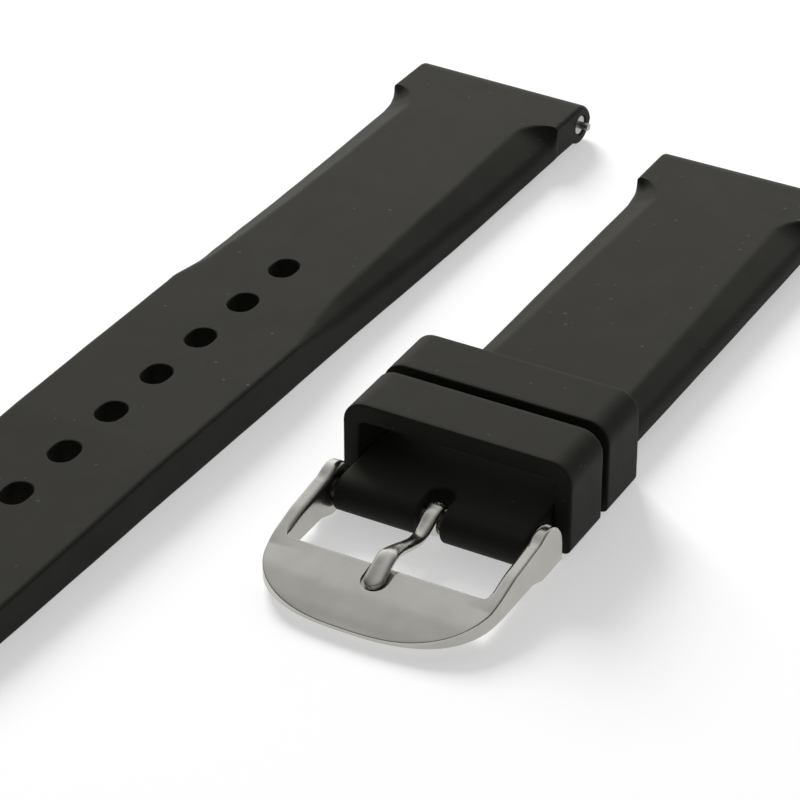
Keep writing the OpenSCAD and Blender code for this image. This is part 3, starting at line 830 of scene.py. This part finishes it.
# The buckle's rings cross the band from the outer to the inner outline: the top with a quarter
# circle at each edge, the inner wall, the underside and the outer wall. Both ears end in a cap.
def makeBuckle():
    own = buckle
    outer, inner = buckleOutlines()
    across = inner - outer
    width = np.linalg.norm(across, axis=1, keepdims=True)
    outerEdge = np.interp(outer[:, 1:], own["frontBlend"], (own["frontEdge"], own["armEdge"]))
    innerEdge = np.interp(inner[:, 1:], own["rearBlend"], (own["rearEdge"], own["armInnerEdge"]))
    lowEdge = own["lowEdge"]
    edgeCount, topCount, lowCount = own["points"]
    rise, fall = quarterSteps(edgeCount)
    topShares = np.linspace(0, 1, topCount)[1:-1]
    lowShares = np.linspace(1, 0, lowCount)[1:-1]
    topDepth = np.concatenate([
        outerEdge * rise, outerEdge + (width - outerEdge - innerEdge) * topShares,
        width - innerEdge * fall], 1)
    topDrop = np.concatenate([outerEdge * fall, 0 * width * topShares, innerEdge * rise], 1)
    lowDepth = np.concatenate([
        width - lowEdge * rise, lowEdge + (width - 2 * lowEdge) * lowShares,
        lowEdge * fall + 0 * width], 1)
    lowRise = lowEdge * np.concatenate([fall, 0 * lowShares, rise])

    def spread(depth):
        flat = outer[:, None] + (across / width)[:, None] * depth[..., None]
        return flat, *buckleHeights(flat, depth)

    def wall(start, end):
        return start + (end - start) * np.array(own["wallShares"])

    topFlat, high, low = spread(topDepth)
    zTop = high - np.minimum(topDrop, np.maximum((high - low) * own["mostDrop"][0], 0))
    lowFlat, high, low = spread(lowDepth)
    zLow = low + np.minimum(lowRise, np.maximum((high - low) * own["mostDrop"][1], 0))
    wallCount = len(own["wallShares"])
    flat = np.concatenate([topFlat, np.repeat(topFlat[:, -1:], wallCount, 1),
                           lowFlat, np.repeat(lowFlat[:, -1:], wallCount, 1)], 1)
    z = np.concatenate([zTop, wall(zTop[:, -1:], zLow[:, :1]),
                        zLow, wall(zLow[:, -1:], zTop[:, :1])], 1)
    points = np.concatenate([flat, z[..., None]], -1)
    caps = [np.repeat(points[k].mean(0)[None, None], points.shape[1], 1) for k in (0, -1)]
    points = np.concatenate([caps[0], points, caps[1]])
    points[..., 1] += buckleBar[1]
    piece = makeTube("buckleFrameSteel", points)
    cutAway(piece, notchCutter())
    for side in (-1, 1):
        cutAway(piece, tipHoleCutter(side))
    soften = piece.modifiers.new("soften", "BEVEL")
    soften.width = own["soften"] * mm
    soften.segments = own["softenSteps"]
    soften.limit_method = "ANGLE"
    soften.angle_limit = math.radians(own["softenAngle"])
    applyModifiers(piece)
    return piece


# A rod along x that takes a spring bar's tip out of one ear.
def tipHoleCutter(side):
    own = buckle
    start, end = own["armIn"] - own["tipHoleLead"], own["tipHoleEnd"]
    radii = [0, own["tipHole"], own["tipHole"], 0]
    points = turned(side * np.array([start, start, end, end]), radii, own["tipHolePoints"])
    return makeTube("tipHoleCutter", points + np.array([0, buckleBar[1], buckleBar[2]]))


notch = {
    "half": 1.3,         # half width, and radius of the round end
    "end": 11.15,        # place of the round end's centre ahead of the bar
    "rear": 8.0,
    "floor": ((-13.0, 1.85), (-12.1, 1.85), (-9.17, 3.0), (-7.5, 3.0)),
    "softness": 0.3,
    "height": 5.0,
    "points": (20, 14),  # round the end and along the rest
}


# What the tongue's notch takes out of the plate: strips across, from the round end, where half
# their width is a half circle's, back past the plate's edge. The floor follows the tongue.
def notchCutter():
    own = notch
    endCount, restCount = own["points"]
    y = np.concatenate([-noseStations(own["half"], endCount)[::-1] - own["end"],
                        np.linspace(-own["end"], -own["rear"], restCount)[1:]])
    half = np.sqrt(np.maximum(own["half"] ** 2 - np.minimum(y + own["end"], 0) ** 2, 0))
    floor, roof = softInterp(y, own["floor"], own["softness"]), np.full_like(y, own["height"])
    x = np.stack([-half, half, half, -half], -1)
    z = np.stack([floor, floor, roof, roof], -1)
    points = np.stack([x, np.broadcast_to((y + buckleBar[1])[:, None], x.shape), z], -1)
    cap = np.repeat(points[-1].mean(0)[None, None], points.shape[1], 1)
    return makeTube("notchCutter", np.concatenate([points, cap]))


# Tang: a strip curled round the bar, bent down in front of it and up on to the plate

tang = {
    "eyeRadius": 1.55,
    "eyeStrip": 0.72,
    "curl": 292.0,
    "bend": 2.2,         # degree of the superellipse of the section
    "line": ((0.0, 1.19), (-1.0, 0.93), (-2.0, 0.36), (-3.0, -0.02), (-4.0, -0.04), (-5.5, 0.4),
             (-7.0, 0.96), (-8.3, 1.33), (-9.1, 1.31), (-10.2, 0.86), (-11.2, 0.4), (-12.1, 0.0)),
    "strips": ((0.0, 0.72), (-2.0, 1.0), (-9.0, 1.05), (-12.1, 0.8)),
    "widths": ((0.0, 1.6), (-1.8, 1.45), (-4.6, 1.25), (-7.2, 1.5), (-8.8, 1.9), (-12.1, 1.95)),
    "softness": 0.4,
    "tipThinning": 0.35,  # power of the closing width by which the tip's thickness closes
    "points": (80, 190, 48),  # round the curl, along the tongue and round the section
    "knotSteps": 24,
}


# A smooth line through knots: cubic pieces whose slope at each knot is that from the knot
# before to the knot after (Catmull-Rom), then spaced evenly.
def curve(knots, count):
    knots = np.array(knots, float)
    padded = np.concatenate([[2 * knots[0] - knots[1]], knots, [2 * knots[-1] - knots[-2]]])
    t = np.linspace(0, 1, tang["knotSteps"], endpoint=False)[None, :, None]
    p0, p1, p2, p3 = (padded[k:len(padded) - 3 + k, None] for k in range(4))
    line = 0.5 * (2 * p1 + (p2 - p0) * t + (2 * p0 - 5 * p1 + 4 * p2 - p3) * t ** 2
                  + (3 * p1 - p0 - 3 * p2 + p3) * t ** 3)
    return spacedAlong(np.concatenate([line.reshape(-1, 2), knots[-1:]]), count)


# A rounded section carried along the line of the curl and the tongue. The section is a
# superellipse, and its width closes in a half circle at the tip.
def makeTang():
    own = tang
    radius = own["eyeRadius"] - own["eyeStrip"] / 2
    curlCount, tongueCount, ringCount = own["points"]
    around = np.radians(np.linspace(own["curl"], 0, curlCount))[:-1]
    curl = np.stack([radius * np.sin(around), radius * np.cos(around)], -1)
    line = np.concatenate([curl, curve(own["line"], tongueCount)])
    along = np.gradient(line, axis=0)
    along /= np.linalg.norm(along, axis=1, keepdims=True)
    up = np.stack([along[:, 1], -along[:, 0]], -1)
    onTongue = np.arange(len(line)) >= len(curl)
    place = np.where(onTongue, np.minimum(line[:, 0], 0), 0)
    strip = softInterp(place, own["strips"], own["softness"])
    width = softInterp(place, own["widths"], own["softness"])
    toTip = np.clip((line[-1, 0] - line[:, 0]) / -(width / 2), 0, 1)
    close = np.where(onTongue, np.sqrt(np.clip(1 - (1 - toTip) ** 2, 0, 1)), 1)
    t = np.linspace(0, 2 * math.pi, ringCount, endpoint=False)
    power = 2 / own["bend"]
    x = signedPower(np.cos(t), power) * (width * close)[:, None] / 2
    lift = signedPower(np.sin(t), power) * (strip * close ** own["tipThinning"])[:, None] / 2
    flat = line[:, None] + up[:, None] * lift[..., None]
    points = np.stack([x, flat[..., 0], flat[..., 1]], -1)
    start = np.repeat(points[:1].mean(1, keepdims=True), points.shape[1], 1)
    points = np.concatenate([start, points]) + np.array([0, buckleBar[1], buckleBar[2]])
    return makeTube("buckleTangSteel", points)


pieces = {
    "shortHalf": makeShortHalf(),
    "longHalf": makeLongHalf(),
    "fixedKeeper": makeKeeper("fixedKeeperRubber", "fixed_keeper", keeperShape["fixedWalls"]),
    "freeKeeper": makeKeeper("freeKeeperRubber", "free_keeper", keeperShape["freeWalls"]),
    "buckle": makeBuckle(),
    "tang": makeTang(),
}
print("pieces made")


# Materials

# Adds a node. inputs gives sockets their values, or the outputs that feed them.
def addNode(tree, kind, inputs=None, **settings):
    made = tree.nodes.new("ShaderNode" + kind)
    for name, value in settings.items():
        setattr(made, name, value)
    for socket, value in (inputs or {}).items():
        if isinstance(value, bpy.types.NodeSocket):
            tree.links.new(value, made.inputs[socket])
        else:
            made.inputs[socket].default_value = value
    return made


def noise(tree, vector, scale, detail, roughness):
    inputs = {"Vector": vector, "Scale": scale, "Detail": detail, "Roughness": roughness}
    return addNode(tree, "TexNoise", inputs).outputs["Fac"]


def ramp(tree, value, low, high, toLow=0.0, toHigh=1.0):
    limits = {"From Min": low, "From Max": high, "To Min": toLow, "To Max": toHigh}
    return addNode(tree, "MapRange", {"Value": value, **limits}).outputs["Result"]


def calc(tree, operation, *values):
    return addNode(tree, "Math", dict(enumerate(values)), operation=operation).outputs[0]


def mixColour(tree, factor, a, b):
    return addNode(tree, "Mix", {"Factor": factor, 6: a, 7: b}, data_type="RGBA").outputs[2]


def bumpNormal(tree, height, strength, distance):
    inputs = {"Height": height, "Strength": strength, "Distance": distance * mm}
    return addNode(tree, "Bump", inputs).outputs["Normal"]


# A node group with a Vector input, named number inputs and one number as its output.
def newGroup(name, values, result):
    group = bpy.data.node_groups.new(name, "ShaderNodeTree")
    group.interface.new_socket(name="Vector", in_out="INPUT", socket_type="NodeSocketVector")
    for label, value in values.items():
        socket = group.interface.new_socket(
            name=label, in_out="INPUT", socket_type="NodeSocketFloat")
        socket.default_value = value
    group.interface.new_socket(name=result, in_out="OUTPUT", socket_type="NodeSocketFloat")
    return group, group.nodes.new("NodeGroupInput").outputs


def groupResult(group, value):
    group.links.new(value, group.nodes.new("NodeGroupOutput").inputs[0])
    return group


patterns = {
    "speck": (0.12, 0.05),         # distance from a cell's point where a speck ends and starts
    "rareNoise": (320, 1, 0.55),   # each noise: scale, detail and roughness
    "rareRange": (0.5, 0.62),
    "fineGrain": (5200, 2, 0.6),
    "slowGrain": (140, 2, 0.5),
}


# Bright dust specks: small round spots about the points of a cell pattern, kept only where a
# slow noise is high.
def makeDustGroup():
    group, source = newGroup("dust", {"Amount": 0.5, "Scale": 500.0}, "Mask")
    cells = addNode(group, "TexVoronoi", {
        "Vector": source["Vector"], "Scale": source["Scale"], "Randomness": 1})
    speck = ramp(group, cells.outputs["Distance"], *patterns["speck"])
    slow = noise(group, source["Vector"], *patterns["rareNoise"])
    rare = ramp(group, slow, *patterns["rareRange"])
    marks = calc(group, "MULTIPLY", speck, rare)
    return groupResult(group, calc(group, "MULTIPLY", marks, source["Amount"]))


# Height of a moulded surface: fine grain over a slow unevenness.
def makeGrainGroup():
    group, source = newGroup("grain", {"Fine": 1.0, "Slow": 1.0}, "Height")
    fine = noise(group, source["Vector"], *patterns["fineGrain"])
    slow = noise(group, source["Vector"], *patterns["slowGrain"])
    fine = calc(group, "MULTIPLY", fine, source["Fine"])
    return groupResult(group, calc(group, "MULTIPLY_ADD", slow, source["Slow"], fine))


dustGroup = makeDustGroup()
grainGroup = makeGrainGroup()

rubberLook = {
    "strap": {"base": (0.0167, 0.0162, 0.0125), "worn": (0.0197, 0.0191, 0.0149), "dust": 0.4},
    "keeper": {"base": (0.016, 0.0155, 0.012), "worn": (0.0184, 0.0178, 0.014), "dust": 0.25},
    "wornNoise": (180, 4, 0.6),
    "wornRange": (0.35, 0.7),
    "roughNoise": (420, 3, 0.6),
    "roughness": (0.6, 0.7),
    "ior": 1.5,
    "specular": 0.22,
    "tint": (1.0, 0.98, 0.91, 1),
    "sheen": 0.07,
    "sheenRoughness": 0.5,
    "dustColour": (0.16, 0.16, 0.145),
    "dustScale": 620.0,
    "grain": (0.35, 1.0),          # fine and slow
    "bump": (0.35, 0.06),          # strength and height
}
steelLook = {
    "lineNoise": (900, 3, 0.6),
    "smudgeNoise": (260, 3, 0.6),
    "smudgeRange": (0.3, 0.75),
    "smudgeShade": 0.88,
    "bump": (0.12, 0.01),
}


def startTree(owner):
    owner.use_nodes = True
    owner.node_tree.nodes.clear()
    return owner.node_tree


def startMaterial(name):
    material = bpy.data.materials.new(name)
    tree = startTree(material)
    return material, tree, addNode(tree, "TexCoord").outputs["Object"]


def finishMaterial(tree, inputs):
    shader = addNode(tree, "BsdfPrincipled", inputs)
    addNode(tree, "OutputMaterial", {"Surface": shader.outputs["BSDF"]})


def makeRubber(name, look):
    own = rubberLook
    material, tree, place = startMaterial(name)
    worn = ramp(tree, noise(tree, place, *own["wornNoise"]), *own["wornRange"])
    colour = mixColour(tree, worn, (*look["base"], 1), (*look["worn"], 1))
    dust = addNode(tree, "Group", {"Vector": place, "Amount": look["dust"],
                                   "Scale": own["dustScale"]}, node_tree=dustGroup)
    colour = mixColour(tree, dust.outputs["Mask"], colour, (*own["dustColour"], 1))
    fine, slow = own["grain"]
    grain = addNode(tree, "Group", {"Vector": place, "Fine": fine, "Slow": slow},
                    node_tree=grainGroup)
    rough = noise(tree, place, *own["roughNoise"])
    finishMaterial(tree, {
        "Base Color": colour,
        "Roughness": ramp(tree, rough, 0, 1, *own["roughness"]),
        "Normal": bumpNormal(tree, grain.outputs["Height"], *own["bump"]),
        "IOR": own["ior"],
        "Specular IOR Level": own["specular"],
        "Specular Tint": own["tint"],
        "Sheen Tint": own["tint"],
        "Sheen Weight": own["sheen"],
        "Sheen Roughness": own["sheenRoughness"],
    })
    return material


# Metal with faint lines along the brushing direction and a few smudges. brush squeezes the
# pattern along each axis.
def makeSteel(name, colour, roughness, brush):
    own = steelLook
    material, tree, place = startMaterial(name)
    stretched = addNode(tree, "Mapping", {"Vector": place, "Scale": brush}).outputs["Vector"]
    lines = noise(tree, stretched, *own["lineNoise"])
    smudge = ramp(tree, noise(tree, place, *own["smudgeNoise"]), *own["smudgeRange"])
    dark = [part * own["smudgeShade"] for part in colour]
    finishMaterial(tree, {
        "Base Color": mixColour(tree, smudge, (*colour, 1), (*dark, 1)),
        "Roughness": ramp(tree, lines, 0, 1, *roughness),
        "Normal": bumpNormal(tree, lines, *own["bump"]),
        "Metallic": 1,
    })
    return material


strapRubber = makeRubber("strapRubber", rubberLook["strap"])
keeperRubber = makeRubber("keeperRubber", rubberLook["keeper"])
buckleSteel = makeSteel("buckleSteel", (0.63, 0.618, 0.57), (0.2, 0.28), (1, 0.06, 1))
# Painted light: the tang's steel is a paler copy of the buckle's steel, so the tang looks more brightly lit.
tangSteelPaintedLighter = makeSteel("tangSteelPaintedLighter", (0.74, 0.73, 0.67), (0.2, 0.32), (1, 0.06, 1))
barSteel = makeSteel("barSteel", (0.5, 0.49, 0.47), (0.25, 0.4), (0.2, 1, 1))
springWire = makeSteel("springWire", (0.5, 0.5, 0.5), (0.25, 0.4), (0.2, 1, 1))


# Which body each piece rides on, which nodes it stands for and its record slot

roles = {
    "shortHalf": ("buckle_half", "buckle_strap", "rubber", strapRubber),
    "longHalf": ("hole_half", "hole_strap", "rubber", strapRubber),
    "fixedKeeper": ("buckle_half", "fixed_keeper", "keeper_rubber", keeperRubber),
    "freeKeeper": ("free_keeper", "free_keeper", "keeper_rubber", keeperRubber),
    "buckle": ("buckle", "buckle_frame", "buckle_steel", buckleSteel),
    "tang": ("tang", "buckle_tang", "buckle_steel", tangSteelPaintedLighter),
}
for key, (body, cadNode, slotName, material) in roles.items():
    piece = pieces[key]
    piece.data.materials.clear()
    piece.data.materials.append(material)
    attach(piece, body)
    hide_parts(cadNode)
for name, cadObject in frame["nodes"].items():
    if "_bar_" in name:
        metal = springWire if name.endswith("spring") else barSteel
        for slotOfNode in cadObject.material_slots:
            slotOfNode.material = metal
print("pieces dressed")


# Floor, world and lights

stage = {
    "floorSize": 3.0,              # in metres
    "floorBounce": 0.34,           # the paper's colour as it throws light back on the part
    "floorSeen": (0.57, 0.48),     # its colour and glow as the camera sees it
    "floorMirrored": (0.3, 0.58),  # and as the steel and the rubber's sheen see it
    "skyLow": 0.1,                 # the studio's light from the horizon
    "skyHigh": 0.15,               # what is added straight overhead
    "skyBack": 1.52,               # and what the bright wall behind adds at its middle
    "backWay": (-0.38, 0.92, 0.1),
    "backFocus": 2.1,
    "skyMirrored": 0.4,            # a white card overhead, which only shows mirrored
    "cardFocus": 8.0,
    "skySeen": 0.98,               # the backdrop as the camera sees it
    "lampPlace": (-940, 960, 700),
    "lampSize": 560,
    "lampPower": 32,
}


def makeFloor():
    size = stage["floorSize"]
    corners = [(-size, -size, 0), (size, -size, 0), (size, size, 0), (-size, size, 0)]
    mesh = bpy.data.meshes.new("floor")
    mesh.from_pydata(corners, [], [(0, 1, 2, 3)])
    floor = addObject("floor", mesh)
    material = bpy.data.materials.new("floorPaper")
    tree = startTree(material)
    path = addNode(tree, "LightPath").outputs
    colour, strength = stage["floorBounce"], 0.0
    for ray, look in (("Is Camera Ray", "floorSeen"), ("Is Glossy Ray", "floorMirrored")):
        seenColour, seenGlow = stage[look]
        change = seenColour - stage["floorBounce"]
        colour = calc(tree, "MULTIPLY_ADD", path[ray], change, colour)
        strength = calc(tree, "MULTIPLY_ADD", path[ray], seenGlow, strength)
    paper = addNode(tree, "BsdfDiffuse", {"Color": colour})
    glow = addNode(tree, "Emission", {"Strength": strength})
    both = addNode(tree, "AddShader", {0: paper.outputs[0], 1: glow.outputs[0]})
    addNode(tree, "OutputMaterial", {"Surface": both.outputs[0]})
    mesh.materials.append(material)


# The sky's strength grows with the square of the height of a direction, and with a power of
# the cosine of its angle to the middle of the bright wall. The card's grows with a power of
# the height, for mirrored rays only. The camera sees one plain strength instead.
def makeWorld():
    world = bpy.data.worlds.new("studio")
    bpy.context.scene.world = world
    tree = startTree(world)
    way = addNode(tree, "TexCoord").outputs["Generated"]
    path = addNode(tree, "LightPath").outputs
    parts = addNode(tree, "SeparateXYZ", {"Vector": way}).outputs
    height = calc(tree, "MAXIMUM", parts["Z"], 0.0)
    wallMiddle = Vector(stage["backWay"]).normalized()
    towards = addNode(tree, "VectorMath", {0: way, 1: wallMiddle}, operation="DOT_PRODUCT")
    cosine = calc(tree, "MAXIMUM", towards.outputs["Value"], 0.0)
    wall = calc(tree, "POWER", cosine, stage["backFocus"])
    overhead = calc(tree, "POWER", height, stage["cardFocus"])
    card = calc(tree, "MULTIPLY", overhead, path["Is Glossy Ray"])
    rise = calc(tree, "MULTIPLY", height, height)
    strength = stage["skyLow"]
    for part, most in ((rise, "skyHigh"), (wall, "skyBack"), (card, "skyMirrored")):
        strength = calc(tree, "MULTIPLY_ADD", part, stage[most], strength)
    unseen = calc(tree, "SUBTRACT", 1.0, path["Is Camera Ray"])
    strength = calc(tree, "MULTIPLY", strength, unseen)
    strength = calc(tree, "MULTIPLY_ADD", path["Is Camera Ray"], stage["skySeen"], strength)
    sky = addNode(tree, "Background", {"Strength": strength})
    addNode(tree, "OutputWorld", {"Surface": sky.outputs[0]})


# The lamp is behind a polariser: it lights, but makes no glare on the steel.
def makeLamp():
    data = bpy.data.lights.new("keyLight", "AREA")
    data.energy, data.size = stage["lampPower"], stage["lampSize"] * mm
    lamp = addObject("keyLight", data)
    lamp.location = Vector(stage["lampPlace"]) * mm
    lamp.rotation_euler = (-Vector(stage["lampPlace"])).to_track_quat("-Z", "Y").to_euler()
    lamp.visible_glossy = False


makeFloor()
makeWorld()
makeLamp()
bpy.context.scene.view_settings.view_transform = "Standard"
print("stage made")
